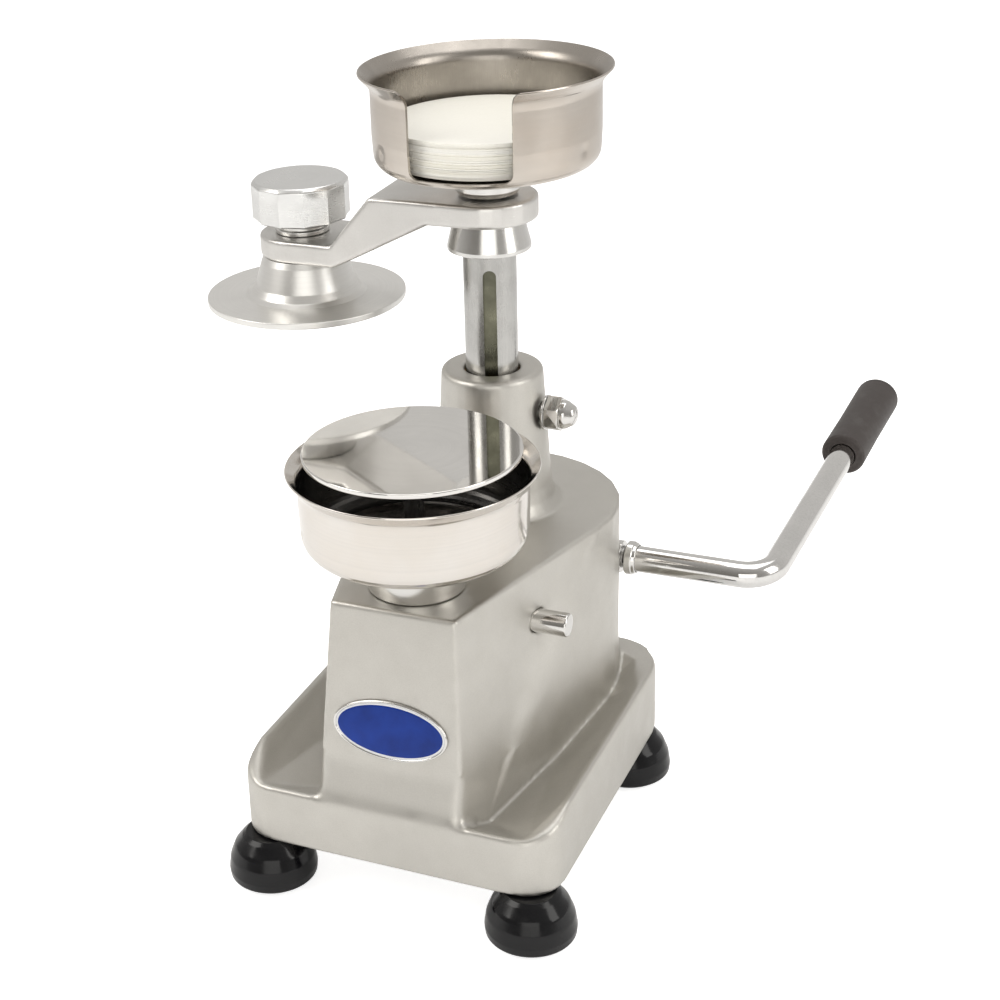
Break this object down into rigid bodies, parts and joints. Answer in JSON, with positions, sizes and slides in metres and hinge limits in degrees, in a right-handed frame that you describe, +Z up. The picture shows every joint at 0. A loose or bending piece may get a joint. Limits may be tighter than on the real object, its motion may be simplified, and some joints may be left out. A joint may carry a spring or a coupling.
{
  "type": "patty press",
  "caption": "Hand-lever patty press: cast body on feet, round mould with lift plate, rack column, swing-aside press plate and paper tray.",
  "frame": {"origin": "on the floor, under the middle of the whole press's box", "axes": "+Z up; -Y towards the operator; +X to the operator's right, the handle's side"},
  "size_m": [0.3878, 0.4912, 0.471],
  "materials": {
    "cast_aluminium": "bead-blasted satin casting",
    "machined_aluminium": "fine turned satin",
    "polished_steel": "polished stainless or plated",
    "ground_steel": "ground and oiled",
    "dark_steel": "plain steel",
    "bronze": "bearing bronze",
    "black_rubber": "smooth moulded",
    "black_vinyl": "satin dipped grip",
    "blue_enamel": "gloss enamel",
    "waxed_paper": "matt waxed"
  },
  "bodies": {
    "frame": {"base_casting": "cast_aluminium", "mould_bowl": "polished_steel", "mould_pedestal": "polished_steel", "lever_pin": "polished_steel", "lock_washer": "polished_steel", "acorn_nut": "polished_steel", "badge_frame": "polished_steel", "guide_key": "ground_steel", "lock_stud": "ground_steel", "bowl_screw_1": "ground_steel", "bowl_screw_2": "ground_steel", "bowl_screw_3": "ground_steel", "column_bush": "bronze", "lock_pad": "bronze", "shaft_bush_left": "ground_steel", "shaft_bush_right": "ground_steel", "badge_plate": "blue_enamel", "foot_front_left": "black_rubber", "foot_stud_front_left": "dark_steel", "foot_front_right": "black_rubber", "foot_stud_front_right": "dark_steel", "foot_rear_left": "black_rubber", "foot_stud_rear_left": "dark_steel", "foot_rear_right": "black_rubber", "foot_stud_rear_right": "dark_steel"},
    "handle": {"drive_shaft": "ground_steel", "drive_pinion": "ground_steel", "crank_arm": "dark_steel", "crank_pin": "ground_steel", "shaft_clip": "dark_steel", "handle_collar": "polished_steel", "handle_bar": "polished_steel", "handle_grip": "black_vinyl", "grip_cap": "black_vinyl"},
    "column": {"lift_column": "ground_steel", "cone_collar": "machined_aluminium", "tray_spacer": "machined_aluminium", "paper_tray": "polished_steel", "tray_screw": "ground_steel", "paper_stack": "waxed_paper"},
    "arm": {"swing_arm": "cast_aluminium", "press_plate": "machined_aluminium", "press_stud": "ground_steel", "press_lock_ring": "machined_aluminium"},
    "knob": {"press_knob": "polished_steel"},
    "lever": {"lift_lever": "dark_steel", "roller_pin": "ground_steel", "link_pin": "ground_steel"},
    "roller": {"lever_roller": "bronze"},
    "link": {"lift_link": "dark_steel"},
    "lift": {"lift_plate": "polished_steel", "plate_hub": "ground_steel", "lift_rod": "ground_steel"}
  },
  "joints": [
    {"name": "handle_pull", "type": "hinge", "parent": "frame", "child": "handle", "pos_m": [-0.00562, -0.0127, 0.15], "axis": [1, 0, 0], "range_deg": [0, 165]},
    {"name": "column_slide", "type": "slide", "parent": "frame", "child": "column", "axis": [0, 0, -1], "range_m": [0, 0.0601]},
    {"name": "lift_slide", "type": "slide", "parent": "frame", "child": "lift", "axis": [0, 0, -1], "range_m": [0, 0.0361]},
    {"name": "lever_rock", "type": "hinge", "parent": "frame", "child": "lever", "pos_m": [-0.00562, -0.13014, 0.161], "axis": [1, 0, 0], "range_deg": [0, 51.8]},
    {"name": "link_level", "type": "hinge", "parent": "handle", "child": "link", "pos_m": [-0.00562, -0.02709, 0.14811], "axis": [1, 0, 0], "range_deg": [-165.1, 0]},
    {"name": "roller_spin", "type": "hinge", "parent": "lever", "child": "roller", "pos_m": [-0.00562, -0.16731, 0.179], "axis": [1, 0, 0], "continuous": true},
    {"name": "arm_swing", "type": "hinge", "parent": "column", "child": "arm", "pos_m": [-0.00562, -0.04614, 0.388], "axis": [0, 0, -1], "range_deg": [-90, 90]},
    {"name": "knob_turn", "type": "hinge", "parent": "arm", "child": "knob", "pos_m": [-0.13092, -0.04614, 0.3703], "axis": [0, 0, 1], "continuous": true}
  ],
  "couplings": [
    {"joint": "column_slide", "follows": "handle_pull", "m_per_rad": 0.020835},
    {"joint": "lift_slide", "follows": "handle_pull", "m_per_rad": 0.012501},
    {"joint": "lever_rock", "follows": "handle_pull", "ratio": 0.31319},
    {"joint": "link_level", "follows": "handle_pull", "ratio": -1}
  ]
}
